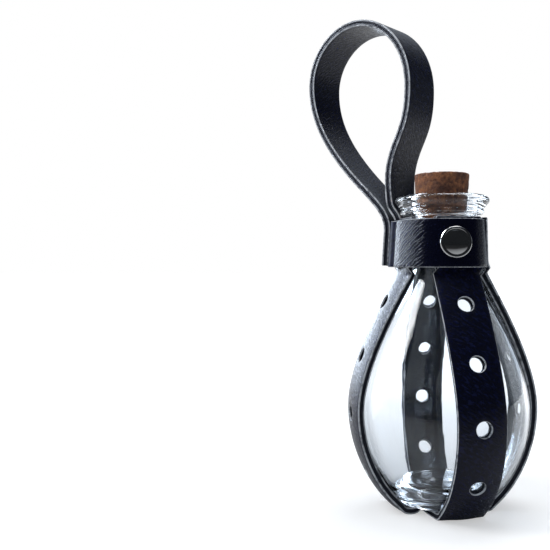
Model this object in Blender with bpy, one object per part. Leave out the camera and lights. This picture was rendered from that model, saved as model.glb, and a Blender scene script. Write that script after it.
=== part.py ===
"""Corked potion bottle in a leather strap harness with a snap collar and a hanging loop.

Metres, +Z up. The origin is the point of the floor under the middle of the bottle, and the snap
faces -Y. Azimuths are in degrees round the bottle, 0 at the front (-Y) and 90 at the right (+X).
"""

import math

import bmesh
import bpy
from mathutils import Matrix, Vector

MM = 0.001
GAP = 0.3 * MM  # clearance between pieces that touch

# Glass flask
BELLY_RADIUS = 35.0 * MM
BELLY_HEIGHT = 38.0 * MM  # height of the widest ring above the foot
FOOT_RADIUS = 18.0 * MM
NECK_RADIUS = 12.7 * MM  # under the lip
NECK_FLARE = 0.5 * MM  # how much wider the neck is where it meets the shoulder
NECK_START = 96.9 * MM  # where the shoulder has become the neck, above the foot
LIP_START = 115.6 * MM  # underside of the lip, above the foot
LIP_HEIGHT = 8.7 * MM
LIP_RADIUS = 18.9 * MM  # of its upper bead
UPPER_BEAD_ROUND = 1.7 * MM
UPPER_BEAD_DROP = 2.1 * MM  # from the lip's top down to the middle of its upper bead
LOWER_BEAD_RADIUS = 16.9 * MM
LOWER_BEAD_ROUND = 1.4 * MM
LOWER_BEAD_RISE = 2.1 * MM  # from the lip's underside up to the middle of its lower bead
LIP_FILLET = 0.5 * MM  # under the lower bead
MOUTH_ROUND = 0.4 * MM
MOUTH_ROUND_DEPTH = 0.8 * MM
WALL = 2.0 * MM
SHOULDER_EASE = (0.3 * MM, 0.07)  # how the neck's outline leaves for the shoulder: out, and a share down
SHOULDER_FULLNESS = 0.36  # shares of the shoulder's and the bowl's height
BOWL_FULLNESS = 0.45
HEEL_HANDLE = (0.47, 0.155)  # pulls the bowl in towards the foot: shares of its width and height
PUNT_RADIUS = 17.0 * MM
PUNT_DEPTH = 3.5 * MM
PUNT_DOME = 0.8 * MM  # how much higher its middle is
PUNT_CORNER = (1.5 * MM, 0.5 * MM, 0.4 * MM)  # across at its top, across lower down, and how far down
WELL = 1.2 * MM  # each step inwards from the low ring by the wall to the floor's raised middle
WELL_DEPTH = 0.8 * MM  # of the low ring, under the floor's height
WELL_STEP = 0.3 * MM  # of the step next to it
FLOOR_DOME = 1.0 * MM
GLASS_SEGMENTS = 32

# Cork stopper
CORK_TOP_RADIUS = 11.0 * MM
CORK_TIP_RADIUS = 9.8 * MM
CORK_LENGTH = 23.0 * MM
CORK_PROUD = 8.9 * MM  # how far it stands out of the mouth
CORK_EDGE = 0.5 * MM

# Leather strips: every strip has one width, and straps and loop are two plies thick
STRIP_WIDTH = 19.0 * MM
PLY = 1.25 * MM
STRAP = 2 * PLY + GAP
# Azimuths of a strap's two arms: at the collar, at the foot, at the far foot and at the far collar
FRONT_BACK_AZIMUTHS = (9.0, 13.0, 2.0, 2.0)
LEFT_RIGHT_AZIMUTHS = (96.0, 96.0, 96.0, 96.0)
STRAP_END_ABOVE_COLLAR = 1.0 * MM
CROSSING_RAMP = 2.4 * MM
CROSSING_CLEARANCE = 1.4 * MM  # beside the lower strap, where the upper one bends down
HOLE_RADIUS = 3.0 * MM
HOLES_PER_ARM = 4
FIRST_HOLE = 36.3 * MM  # from a strap's end, measured along the strap
HOLE_PITCH = 23.5 * MM
ACROSS = 5  # faces across a strip

# Neck collar
COLLAR_BOTTOM = 98.3 * MM
COLLAR_PLY = 1.3 * MM
COLLAR_FLARE = 1.2 * MM  # how much farther out its lower edge lies, over the shoulder's straps
FLAP_ROOT = 40.0
FLAP_RAMP = (36.0, 22.0)  # azimuths between which the flap climbs over the underlap
UNDERLAP_END = 22.0
FLAP_END = -84.0
SNAP_SPACE = 1.4 * MM  # room for the snap between the band and the flap
FLAP_SETTLES = (-27.0, -62.0)  # azimuths between which the flap comes down onto the band again
COLLAR_STEP = 5.0  # degrees between the collar's stations

# Hanging loop: knots of its middle line, as distances from the bottle's axis and heights
LOOP_AZIMUTH = -132.4
LOOP_END_RAISE = 0.7 * MM  # its ends stop this far above the collar's lower edge
LOOP_STEP_RAMP = 9.0  # degrees over which the collar climbs over the tucked end
LOOP_PAST_LIP = 0.7 * MM  # clearance where it passes the lip
LOOP_BENDS_ABOVE_LIP = 1.0 * MM  # its tucked end stands still up to here
LOOP_NEAR = (10.6 * MM, 173.0 * MM)
LOOP_TOP = (38.0 * MM, 203.6 * MM)
LOOP_FAR = (61.4 * MM, 180.0 * MM)
LOOP_FLATTENS = 25.0 * MM  # height over which the curl of its ends dies out
LOOP_PAST_LIP_DROP = 2.1 * MM  # it is farthest out this far below the lip's top
LOOP_LEAVES_COLLAR = 3.0 * MM  # its outer end leaves the collar this far below the upper edge
LOOP_OUT_HANDLE = 1.2 * MM  # from the collar's edge, where it bends out to pass the lip
LOOP_LIP_HANDLE = 3.8 * MM
LOOP_RISE_HANDLES = (0.6, 0.5)  # shares of the height from the lip to the near knot
LOOP_ROUND = 0.55  # circle-like handles, as a share of each quarter
LOOP_FALL_HANDLES = (0.48, 0.224)  # shares of the height from the far knot to the collar

# Snap fastener
SNAP_AZIMUTH = 2.5
SNAP_SEGMENTS = 20
CAP_RADIUS = 6.2 * MM
CAP_RISE = 1.9 * MM
CAP_SPIGOT_RADIUS = 2.2 * MM
SOCKET_RADIUS = 4.3 * MM
SOCKET_BORE = 2.5 * MM
SOCKET_SHEET = 0.55 * MM
SOCKET_WALL = 0.45 * MM
STUD_RADIUS = 4.0 * MM
STUD_SHEET = 0.5 * MM
STUD_HEAD_RADIUS = 1.8 * MM
STUD_NECK_RADIUS = 1.45 * MM
STUD_HEAD_HEIGHT = 0.6 * MM
STUD_ENGAGEMENT = 1.1 * MM
STUD_SUNK = 0.25 * MM  # how far its sheet is pressed into the band
POST_RADIUS = 1.1 * MM
EYELET_RADIUS = 2.6 * MM
EYELET_SHEET = 0.4 * MM

# Loop rivets
RIVET_HEIGHTS = (4.4 * MM, 12.0 * MM)  # above the collar's lower edge
RIVET_CAP_RADIUS = 3.5 * MM
RIVET_CAP_RISE = 1.2 * MM
RIVET_POST_RADIUS = 1.2 * MM
RIVET_FOOT_RADIUS = 3.0 * MM
RIVET_FOOT_SHEET = 0.5 * MM
RIVET_SEGMENTS = 16

# Heights and radii that follow from the sizes above; the collar's are those at its upper edge
FOOT = STRAP + GAP
LIP_TOP = FOOT + LIP_START + LIP_HEIGHT
COLLAR_TOP = COLLAR_BOTTOM + STRIP_WIDTH
HALF_WIDTH = STRIP_WIDTH / 2
STRAP_MID_OFFSET = GAP + STRAP / 2
STRAP_OUTER_ON_NECK = NECK_RADIUS + GAP + STRAP
BAND_INNER = STRAP_OUTER_ON_NECK + GAP
BAND_OUTER = BAND_INNER + COLLAR_PLY
TUCKED_MID = BAND_INNER + STRAP / 2
BUMP_INNER = BAND_INNER + STRAP + GAP
OUTER_BRANCH_MID = BUMP_INNER + COLLAR_PLY + GAP + STRAP / 2
FLAP_INNER = BAND_OUTER + SNAP_SPACE
FLAP_OUTER = FLAP_INNER + COLLAR_PLY
SNAP_HEIGHT = COLLAR_BOTTOM + STRIP_WIDTH / 2


def mix(a, b, share):
    return a + (b - a) * share


def ease(share):
    """Smooth step from 0 to 1."""
    share = min(max(share, 0.0), 1.0)
    return share * share * (3 - 2 * share)


def bezier(start, out_handle, in_handle, end, steps):
    """Points of a cubic from start to end, without its first point."""
    line = []
    for i in range(1, steps + 1):
        t = i / steps
        s = 1 - t
        weights = (s**3, 3 * s * s * t, 3 * s * t * t, t**3)
        corners = (start, out_handle, in_handle, end)
        line.append(tuple(sum(w * c[k] for w, c in zip(weights, corners)) for k in (0, 1)))
    return line


def arc(centre, radius, first, last, steps):
    """Points of an arc, angles in degrees from the first axis."""
    line = []
    for i in range(steps + 1):
        angle = math.radians(mix(first, last, i / steps))
        x = centre[0] + radius * math.cos(angle)
        z = centre[1] + radius * math.sin(angle)
        line.append((x, z))
    return line


def normals(line):
    """Unit normals of an open line of 2-D points, on the left of its direction of travel."""
    found = []
    for i in range(len(line)):
        before = line[max(i - 1, 0)]
        after = line[min(i + 1, len(line) - 1)]
        dx, dz = after[0] - before[0], after[1] - before[1]
        length = math.hypot(dx, dz)
        found.append((-dz / length, dx / length))
    return found


def shifted(line, distance):
    return [(p[0] + n[0] * distance, p[1] + n[1] * distance) for p, n in zip(line, normals(line))]


def material(name, colour, roughness, metallic=0.0, alpha=1.0):
    made = bpy.data.materials.new(name)
    made.use_nodes = True
    shader = made.node_tree.nodes["Principled BSDF"]
    shader.inputs["Base Color"].default_value = (*colour, 1.0)
    shader.inputs["Roughness"].default_value = roughness
    shader.inputs["Metallic"].default_value = metallic
    shader.inputs["Alpha"].default_value = alpha
    made.diffuse_color = (*colour, alpha)
    return made


def add_object(name, bm, finish, smooth_below=35.0):
    """Turns a bmesh into a named object with outward faces."""
    bmesh.ops.remove_doubles(bm, verts=bm.verts, dist=1e-7)
    bmesh.ops.recalc_face_normals(bm, faces=bm.faces)
    mesh = bpy.data.meshes.new(name)
    bm.to_mesh(mesh)
    bm.free()
    mesh.materials.append(finish)
    mesh.shade_smooth()
    mesh.set_sharp_from_angle(angle=math.radians(smooth_below))
    obj = bpy.data.objects.new(name, mesh)
    bpy.context.scene.collection.objects.link(obj)
    return obj


def add_cutter(name, bm, target):
    """Cuts a bmesh's shape out of the target and keeps it as a guide that isn't rendered."""
    bmesh.ops.recalc_face_normals(bm, faces=bm.faces)
    mesh = bpy.data.meshes.new(name)
    bm.to_mesh(mesh)
    bm.free()
    cutter = bpy.data.objects.new(name, mesh)
    bpy.context.scene.collection.objects.link(cutter)
    cutter.hide_render = True
    cutter.display_type = "WIRE"
    cut = target.modifiers.new(name, "BOOLEAN")
    cut.operation = "DIFFERENCE"
    cut.object = cutter
    return cutter


def turn_profile(bm, profile, segments, place=None):
    """Revolves (radius, height) points about Z. A profile that leaves the axis is closed on itself."""
    place = place or Matrix()
    rings = []
    for radius, height in profile:
        if radius < 1e-9:
            rings.append([bm.verts.new(place @ Vector((0, 0, height)))])
            continue
        ring = []
        for i in range(segments):
            angle = 2 * math.pi * i / segments
            spot = Vector((radius * math.cos(angle), radius * math.sin(angle), height))
            ring.append(bm.verts.new(place @ spot))
        rings.append(ring)
    pairs = list(zip(rings, rings[1:]))
    if len(rings[0]) > 1:
        pairs.append((rings[-1], rings[0]))
    for low, high in pairs:
        for i in range(segments):
            j = (i + 1) % segments
            corners = [low[i % len(low)], low[j % len(low)], high[j % len(high)], high[i % len(high)]]
            bm.faces.new(list(dict.fromkeys(corners)))


def turned(name, profile, segments, finish, place=None):
    """A turned object whose own Z is the profile's axis."""
    bm = bmesh.new()
    turn_profile(bm, profile, segments)
    obj = add_object(name, bm, finish)
    if place:
        obj.matrix_world = place
    return obj


def loft(bm, rings):
    """Closed body through rings that run out along one side of a strip and back along the other.

    Both sides are split along the same diagonals, so that neighbouring plies stay a clearance apart.
    """
    made = [[bm.verts.new(point) for point in ring] for ring in rings]
    count = len(made[0])
    half = count // 2
    for low, high in zip(made, made[1:]):
        for i in range(count):
            j = (i + 1) % count
            if i < half:
                bm.faces.new((low[i], low[j], high[j]))
                bm.faces.new((low[i], high[j], high[i]))
            else:
                bm.faces.new((low[i], low[j], high[i]))
                bm.faces.new((low[j], high[j], high[i]))
    for ring in (made[0], made[-1]):
        for i in range(half - 1):
            bm.faces.new((ring[i], ring[i + 1], ring[-2 - i], ring[-1 - i]))


def outward(azimuth):
    """Horizontal unit vector that points away from the bottle's axis."""
    angle = math.radians(azimuth)
    return Vector((math.sin(angle), -math.cos(angle), 0))


def sideways(azimuth):
    """Horizontal unit vector towards growing azimuth."""
    angle = math.radians(azimuth)
    return Vector((math.cos(angle), math.sin(angle), 0))


def flared(radius, height):
    """Radius at a height of a collar layer whose radius at the upper edge is given."""
    return radius + COLLAR_FLARE * (COLLAR_TOP - height) / STRIP_WIDTH


def collar_place(azimuth, height):
    """Places a turned piece square to the flared collar, so that its heights are upper-edge radii."""
    tilt = math.atan(COLLAR_FLARE / STRIP_WIDTH)
    axis = outward(azimuth) * math.cos(tilt) + Vector((0, 0, math.sin(tilt)))
    side = sideways(azimuth)
    place = Matrix((side, axis.cross(side), axis)).transposed().to_4x4()
    reach = flared(BAND_OUTER, height)
    place.translation = Vector((0, 0, height)) + outward(azimuth) * reach - axis * BAND_OUTER
    return place


class Route:
    """The middle line of a strip. Each point is a (radius, height) at its own azimuth."""

    def __init__(self, azimuths, points, curls):
        self.azimuths = azimuths
        self.points = points
        self.curls = curls  # curvature across the strip at each point, positive where its sides turn in
        self.normals = normals(points)
        self.lengths = [0.0]
        for a, b in zip(points, points[1:]):
            self.lengths.append(self.lengths[-1] + math.dist(a, b))

    def spot(self, station, across, offset):
        """World point at a station, so far across the strip and so far out from its middle surface."""
        x, z = self.points[station]
        nx, nz = self.normals[station]
        curl = self.curls[station]
        if abs(curl) > 1e-3:
            radius = 1 / curl
            angle = across / radius
            across = (radius + offset) * math.sin(angle)
            offset = (radius + offset) * math.cos(angle) - radius
        azimuth = self.azimuths[station]
        middle = outward(azimuth) * (x + nx * offset) + Vector((0, 0, z + nz * offset))
        return middle + sideways(azimuth) * across

    def place_at(self, length):
        """Matrix at a length along the route, with its Z out of the strip."""
        station = max(i for i, run in enumerate(self.lengths[:-1]) if run <= length)
        share = (length - self.lengths[station]) / (self.lengths[station + 1] - self.lengths[station])
        ends = (self.points[station], self.points[station + 1])
        x, z = (mix(ends[0][k], ends[1][k], share) for k in (0, 1))
        tilt = (self.normals[station], self.normals[station + 1])
        nx, nz = (mix(tilt[0][k], tilt[1][k], share) for k in (0, 1))
        azimuth = mix(self.azimuths[station], self.azimuths[station + 1], share)
        axis = (outward(azimuth) * nx + Vector((0, 0, nz))).normalized()
        side = sideways(azimuth)
        place = Matrix((side, axis.cross(side), axis)).transposed().to_4x4()
        place.translation = outward(azimuth) * x + Vector((0, 0, z))
        return place

    def part(self, first, last):
        """The stretch between two stations, with its normals and curls kept."""
        piece = Route(self.azimuths[first:last], self.points[first:last], self.curls[first:last])
        piece.normals = self.normals[first:last]
        return piece


def strip(name, route, inner, outer, finish):
    """A leather ply along a route, between two offsets from the route's middle surface."""
    widths = [mix(-HALF_WIDTH, HALF_WIDTH, i / ACROSS) for i in range(ACROSS + 1)]
    rings = []
    for station in range(len(route.points)):
        ring = [route.spot(station, w, outer) for w in widths]
        ring += [route.spot(station, w, inner) for w in reversed(widths)]
        rings.append(ring)
    bm = bmesh.new()
    loft(bm, rings)
    return add_object(name, bm, finish)


def two_plies(name, route, outer_finish, lining_finish):
    """The finished outer ply and the lining ply of one strip."""
    outer = strip(name + "_outer", route, GAP / 2, STRAP / 2, outer_finish)
    lining = strip(name + "_lining", route, -STRAP / 2, -GAP / 2, lining_finish)
    return outer, lining


def punch(name, places, radius, depth, targets):
    """Cuts round holes through pieces, each hole along its place's Z."""
    bm = bmesh.new()
    for place in places:
        profile = [(0, -depth / 2), (radius, -depth / 2), (radius, depth / 2), (0, depth / 2)]
        turn_profile(bm, profile, 12, place)
    cutter = None
    for target in targets:
        if cutter is None:
            cutter = add_cutter(name, bm, target)
            continue
        cut = target.modifiers.new(name, "BOOLEAN")
        cut.operation = "DIFFERENCE"
        cut.object = cutter


# The scene starts empty

for old in list(bpy.data.objects):
    bpy.data.objects.remove(old)

GLASS = material("clear_glass", (0.86, 0.9, 0.9), 0.03, alpha=0.35)
CORK = material("cork", (0.38, 0.2, 0.09), 0.85)
LEATHER = material("grained_leather", (0.018, 0.019, 0.03), 0.45)
LINING = material("leather_lining", (0.045, 0.045, 0.055), 0.75)
NICKEL = material("polished_nickel", (0.72, 0.7, 0.68), 0.12, metallic=1.0)

# Glass flask

def flask_outline():
    """Outer side of neck, shoulder and bowl, from under the lip down to the foot."""
    belly = (BELLY_RADIUS, FOOT + BELLY_HEIGHT)
    neck = (NECK_RADIUS + NECK_FLARE, FOOT + NECK_START)
    foot = (FOOT_RADIUS, FOOT)
    shoulder = NECK_START - BELLY_HEIGHT
    line = [(NECK_RADIUS, FOOT + LIP_START), neck]
    flare = (neck[0] + SHOULDER_EASE[0], neck[1] - SHOULDER_EASE[1] * shoulder)
    line += bezier(neck, flare, (BELLY_RADIUS, belly[1] + SHOULDER_FULLNESS * shoulder), belly, 10)
    heel = (mix(FOOT_RADIUS, BELLY_RADIUS, HEEL_HANDLE[0]), FOOT + HEEL_HANDLE[1] * BELLY_HEIGHT)
    line += bezier(belly, (BELLY_RADIUS, belly[1] - BOWL_FULLNESS * BELLY_HEIGHT), heel, foot, 7)
    return line


def lip_outline():
    """From under the lip over its two beads to the mouth's edge."""
    low = (LOWER_BEAD_RADIUS - LOWER_BEAD_ROUND, FOOT + LIP_START + LOWER_BEAD_RISE)
    high = (LIP_RADIUS - UPPER_BEAD_ROUND, LIP_TOP - UPPER_BEAD_DROP)
    line = [(mix(NECK_RADIUS, LOWER_BEAD_RADIUS, 0.5), FOOT + LIP_START + LIP_FILLET)]
    line += arc(low, LOWER_BEAD_ROUND, -50, 40, 3)
    line += arc(high, UPPER_BEAD_ROUND, -40, 80, 4)
    line.append((CORK_TOP_RADIUS + 1.2 * MM, LIP_TOP))
    return line


def cork_radius(height):
    """The cork's taper, at a height above its lower end."""
    return mix(CORK_TIP_RADIUS, CORK_TOP_RADIUS, height / CORK_LENGTH)


CORK_TIP = LIP_TOP + CORK_PROUD - CORK_LENGTH


def make_flask():
    outline = flask_outline()
    inside = [p for p in shifted(outline[1:], -WALL) if p[1] > FOOT + WALL + PUNT_DEPTH]
    mouth = [
        (cork_radius(LIP_TOP - CORK_TIP) + GAP + MOUTH_ROUND, LIP_TOP),
        (cork_radius(LIP_TOP - CORK_TIP) + GAP, LIP_TOP - MOUTH_ROUND_DEPTH),
        (cork_radius(0) + GAP, CORK_TIP - CORK_EDGE),
    ]
    floor = FOOT + PUNT_DEPTH + WALL
    rim = FOOT_RADIUS - WALL - WELL
    across_top, across_side, down = PUNT_CORNER
    under = [
        (PUNT_RADIUS, FOOT),
        (PUNT_RADIUS - across_side, FOOT + PUNT_DEPTH - down),
        (PUNT_RADIUS - across_top, FOOT + PUNT_DEPTH),
        (0, FOOT + PUNT_DEPTH + PUNT_DOME),
    ]
    well = [
        (rim + 2 * WELL, floor - WELL_DEPTH),
        (rim, floor - WELL_STEP),
        (rim - WELL, floor + FLOOR_DOME / 2),
    ]
    profile = outline[::-1] + lip_outline() + mouth + inside + well + [(0, floor + FLOOR_DOME)]
    return turned("glass_bottle", under[::-1] + profile, GLASS_SEGMENTS, GLASS)


def make_cork():
    tip = CORK_TIP
    top = CORK_TIP + CORK_LENGTH
    profile = [
        (0, tip),
        (CORK_TIP_RADIUS - CORK_EDGE, tip),
        (CORK_TIP_RADIUS, tip + CORK_EDGE),
        (CORK_TOP_RADIUS, top - CORK_EDGE),
        (CORK_TOP_RADIUS - CORK_EDGE, top),
        (0, top),
    ]
    return turned("cork_stopper", profile, 32, CORK)


make_flask()
make_cork()

# Harness straps: one runs front to back under the foot, the other lies over it from left to right

def strap_route(azimuths, crosses_over):
    """The route from one end under the collar to the other, by its azimuths at collar and foot."""
    foot_edge = (FOOT_RADIUS - 2.0 * MM, FOOT)
    arm = shifted(flask_outline() + [foot_edge], STRAP_MID_OFFSET)
    arm[0] = (arm[0][0], COLLAR_TOP + STRAP_END_ABOVE_COLLAR)
    bends = [max(n[0], 0.0) / p[0] for p, n in zip(arm, normals(arm))]
    bends[-1] = 0.0
    heel, flat = arm[-1]
    if crosses_over:
        clear = HALF_WIDTH + CROSSING_CLEARANCE
        shares = (0.0, 0.25, 0.5, 0.75, 1.0)
        under = [(clear + CROSSING_RAMP * (1 - share), flat + ease(share) * (STRAP + GAP)) for share in shares]
    else:
        under = [(HALF_WIDTH, flat), (HALF_WIDTH / 2, flat)]
    under += [(-x, z) for x, z in reversed(under)]
    points = arm + under + [(-x, z) for x, z in reversed(arm)]
    curls = bends + [0.0] * len(under) + bends[::-1]
    collar_end, foot_end, far_foot, far_collar = azimuths
    down = [i / (len(arm) - 1) for i in range(len(arm))]
    turns = [mix(collar_end, foot_end, share) for share in down]
    turns += [mix(far_foot, foot_end, (x + heel) / (2 * heel)) for x, z in under]
    turns += [mix(far_collar, far_foot, share) for share in reversed(down)]
    return Route(turns, points, curls)


def make_strap(name, azimuths, crosses_over):
    route = strap_route(azimuths, crosses_over)
    plies = two_plies(name, route, LEATHER, LINING)
    runs = [FIRST_HOLE + HOLE_PITCH * i for i in range(HOLES_PER_ARM)]
    runs += [route.lengths[-1] - run for run in runs]
    places = [route.place_at(run) for run in runs]
    punch(name + "_punch", places, HOLE_RADIUS, 3 * STRAP, plies)


make_strap("cross_strap_front_back", FRONT_BACK_AZIMUTHS, crosses_over=False)
make_strap("cross_strap_left_right", LEFT_RIGHT_AZIMUTHS, crosses_over=True)

# Hanging loop: one end is tucked under the collar, the other is riveted over it

def loop_line():
    low = COLLAR_BOTTOM + LOOP_END_RAISE
    past_lip = (LIP_RADIUS + LOOP_PAST_LIP + STRAP / 2, LIP_TOP - LOOP_PAST_LIP_DROP)
    tucked = (TUCKED_MID, COLLAR_TOP)
    leaves = COLLAR_TOP - LOOP_LEAVES_COLLAR
    outer = (flared(OUTER_BRANCH_MID, leaves), leaves)
    round_x = LOOP_ROUND * (LOOP_TOP[0] - LOOP_NEAR[0])
    round_z = LOOP_ROUND * (LOOP_TOP[1] - LOOP_NEAR[1])
    far_x = LOOP_ROUND * (LOOP_FAR[0] - LOOP_TOP[0])
    far_z = LOOP_ROUND * (LOOP_TOP[1] - LOOP_FAR[1])
    rise = LOOP_NEAR[1] - past_lip[1]
    fall = LOOP_FAR[1] - outer[1]

    def up(point, distance):
        return (point[0], point[1] + distance)

    line = [(flared(TUCKED_MID, low), low), tucked]
    line += bezier(tucked, up(tucked, LOOP_OUT_HANDLE), up(past_lip, -LOOP_LIP_HANDLE), past_lip, 5)
    near_out, near_in = (share * rise for share in LOOP_RISE_HANDLES)
    line += bezier(past_lip, up(past_lip, near_out), up(LOOP_NEAR, -near_in), LOOP_NEAR, 8)
    top_in = (LOOP_TOP[0] - round_x, LOOP_TOP[1])
    line += bezier(LOOP_NEAR, up(LOOP_NEAR, round_z), top_in, LOOP_TOP, 8)
    top_out = (LOOP_TOP[0] + far_x, LOOP_TOP[1])
    line += bezier(LOOP_TOP, top_out, up(LOOP_FAR, far_z), LOOP_FAR, 8)
    far_out, far_in = (share * fall for share in LOOP_FALL_HANDLES)
    line += bezier(LOOP_FAR, up(LOOP_FAR, -far_out), up(outer, far_in), outer, 12)
    return line + [(flared(OUTER_BRANCH_MID, low), low)]


def split_at(line, rising, falling):
    """Adds two points, a clearance apart, where a line rises past one height and falls past another.

    Also returns the places of the two points that follow the gaps.
    """
    whole = [line[0]]
    starts = []
    for a, b in zip(line, line[1:]):
        height, way = (rising, 1) if b[1] > a[1] else (falling, -1)
        if (a[1] - height) * (b[1] - height) < 0:
            starts.append(len(whole) + 1)
            for z in (height - way * GAP / 2, height + way * GAP / 2):
                whole.append((mix(a[0], b[0], (z - a[1]) / (b[1] - a[1])), z))
        whole.append(b)
    return whole, starts


def loop_route():
    line, starts = split_at(loop_line(), LIP_TOP + LOOP_BENDS_ABOVE_LIP, COLLAR_TOP + GAP)
    sides = normals(line)
    curls = []
    for (x, z), side in zip(line, sides):
        fade = 1 - ease((z - COLLAR_TOP) / LOOP_FLATTENS)
        curls.append(math.copysign(fade / x, side[0]))
    return Route([LOOP_AZIMUTH] * len(line), line, curls), starts


LOOP, (loop_start, loop_stop) = loop_route()
ENDS = {
    "loop_tucked_end": LOOP.part(0, loop_start),
    "loop_riveted_end": LOOP.part(loop_stop, len(LOOP.points)),
}
loop_plies = two_plies("hanger_loop", LOOP.part(loop_start, loop_stop), LEATHER, LINING)
end_plies = {}
for end_name, end_route in ENDS.items():
    end_plies[end_name] = two_plies(end_name, end_route, LEATHER, LINING)

# Neck collar: one spiral strip, split where its free end bends

def collar_inner(azimuth):
    """Inner radius of the band, which steps out over the loop's tucked end."""
    away = abs((azimuth - LOOP_AZIMUTH + 180) % 360 - 180)
    edge = math.degrees(HALF_WIDTH / TUCKED_MID) + 1.0
    return mix(BUMP_INNER, BAND_INNER, ease((away - edge) / LOOP_STEP_RAMP))


def flap_inner(azimuth):
    """Inner radius of the flap: up from its root over the snap, then down onto the band."""
    climb = mix(BAND_INNER, FLAP_INNER, ease((azimuth - FLAP_RAMP[0]) / (FLAP_RAMP[1] - FLAP_RAMP[0])))
    settle = ease((azimuth - FLAP_SETTLES[0]) / (FLAP_SETTLES[1] - FLAP_SETTLES[0]))
    return climb - (SNAP_SPACE - GAP) * settle


def collar_piece(name, first, last, inner_radius):
    """A stretch of collar strip that stands upright round the neck."""
    steps = math.ceil((last - first) / COLLAR_STEP)
    line = []
    spread = []
    for i in range(steps + 1):
        azimuth = mix(first, last, i / steps)
        spot = outward(azimuth) * inner_radius(azimuth)
        line.append((spot.x, spot.y))
        spread.append(outward(azimuth) * COLLAR_FLARE - Vector((0, 0, STRIP_WIDTH)))
    outside = shifted(line, -COLLAR_PLY)
    rings = []
    for near, far, down in zip(line, outside, spread):
        top = [Vector((*far, COLLAR_TOP)), Vector((*near, COLLAR_TOP))]
        rings.append([top[0] + down, top[0], top[1], top[1] + down])
    bm = bmesh.new()
    loft(bm, rings)
    return add_object(name, bm, LEATHER)


root_gap = math.degrees(GAP / BAND_INNER)
band = collar_piece("neck_band", FLAP_ROOT, UNDERLAP_END + 360, collar_inner)
flap = collar_piece("neck_band_flap", FLAP_END, FLAP_ROOT - root_gap, flap_inner)

# Snap fastener: cap and socket clamp the flap, stud and eyelet clamp the band's underlap

def domed_cap(name, place, radius, rise, low, spigot_radius, spigot_low, segments):
    """A pressed cap whose rim follows the round leather that it sits on."""
    rim = 0.3 * MM
    profile = [(0, spigot_low), (spigot_radius, spigot_low), (spigot_radius, low), (radius, low)]
    for x, share in arc((0, 0), 1.0, 0, 90, 5):
        profile.append((radius * x, low + rim + share * (rise - rim)))
    profile[-1] = (0, low + rise)
    cap = turned(name, profile, segments, NICKEL, place)
    for vertex in cap.data.vertices:
        x, y, z = vertex.co
        if z < low + 1.1 * rim and math.hypot(x, y) > spigot_radius - 0.01 * MM and z > low - 0.01 * MM:
            vertex.co.z -= low - math.sqrt(low**2 - x**2)
    return cap


def recess(name, place, profile, targets):
    bm = bmesh.new()
    turn_profile(bm, profile, SNAP_SEGMENTS, place)
    cutter = add_cutter(name, bm, targets[0])
    for target in targets[1:]:
        cut = target.modifiers.new(name, "BOOLEAN")
        cut.operation = "DIFFERENCE"
        cut.object = cutter


def make_snap():
    place = collar_place(SNAP_AZIMUTH, SNAP_HEIGHT)
    stud_low = BAND_OUTER + GAP - STUD_SUNK
    stud_top = stud_low + STUD_SHEET
    socket_low = stud_top + GAP
    head_top = socket_low + STUD_ENGAGEMENT
    eyelet_top = BAND_INNER + EYELET_SHEET
    flange_top = socket_low + SOCKET_SHEET
    tube = SOCKET_BORE + SOCKET_WALL
    beyond = 3 * MM

    cap = domed_cap(
        "snap_cap", place, CAP_RADIUS, CAP_RISE, FLAP_OUTER + GAP, CAP_SPIGOT_RADIUS, head_top + GAP, 24
    )
    socket_profile = [
        (SOCKET_BORE, socket_low),
        (SOCKET_RADIUS, socket_low),
        (SOCKET_RADIUS, flange_top),
        (tube, flange_top),
        (tube, FLAP_OUTER - GAP),
        (SOCKET_BORE, FLAP_OUTER - GAP),
    ]
    socket = turned("snap_socket", socket_profile, SNAP_SEGMENTS, NICKEL, place)
    stud_profile = [
        (0, stud_low),
        (STUD_RADIUS, stud_low),
        (STUD_RADIUS, stud_top),
        (STUD_NECK_RADIUS, stud_top),
        (STUD_NECK_RADIUS, head_top - STUD_HEAD_HEIGHT),
        (STUD_HEAD_RADIUS, head_top - 0.6 * STUD_HEAD_HEIGHT),
        (STUD_HEAD_RADIUS, head_top - 0.3 * STUD_HEAD_HEIGHT),
        (STUD_NECK_RADIUS, head_top),
        (0, head_top),
    ]
    turned("snap_stud", stud_profile, SNAP_SEGMENTS, NICKEL, place)
    eyelet_profile = [
        (0, BAND_INNER),
        (EYELET_RADIUS, BAND_INNER),
        (EYELET_RADIUS, eyelet_top),
        (POST_RADIUS, eyelet_top),
        (POST_RADIUS, stud_low - GAP),
        (0, stud_low - GAP),
    ]
    turned("snap_eyelet", eyelet_profile, SNAP_SEGMENTS, NICKEL, place)

    flap_cut = [
        (0, FLAP_INNER - beyond),
        (SOCKET_RADIUS + GAP, FLAP_INNER - beyond),
        (SOCKET_RADIUS + GAP, flange_top + GAP),
        (tube + GAP, flange_top + GAP),
        (tube + GAP, FLAP_OUTER + beyond),
        (0, FLAP_OUTER + beyond),
    ]
    recess("snap_flap_hole", place, flap_cut, [flap])
    band_cut = [
        (0, BAND_INNER - beyond),
        (EYELET_RADIUS + GAP, BAND_INNER - beyond),
        (EYELET_RADIUS + GAP, eyelet_top + GAP),
        (POST_RADIUS + GAP, eyelet_top + GAP),
        (POST_RADIUS + GAP, stud_low - GAP),
        (STUD_RADIUS + GAP, stud_low - GAP),
        (STUD_RADIUS + GAP, BAND_OUTER + beyond),
        (0, BAND_OUTER + beyond),
    ]
    recess("snap_band_hole", place, band_cut, [band])
    return cap, socket


# Loop rivets, through both ends of the loop and the collar between them

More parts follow.
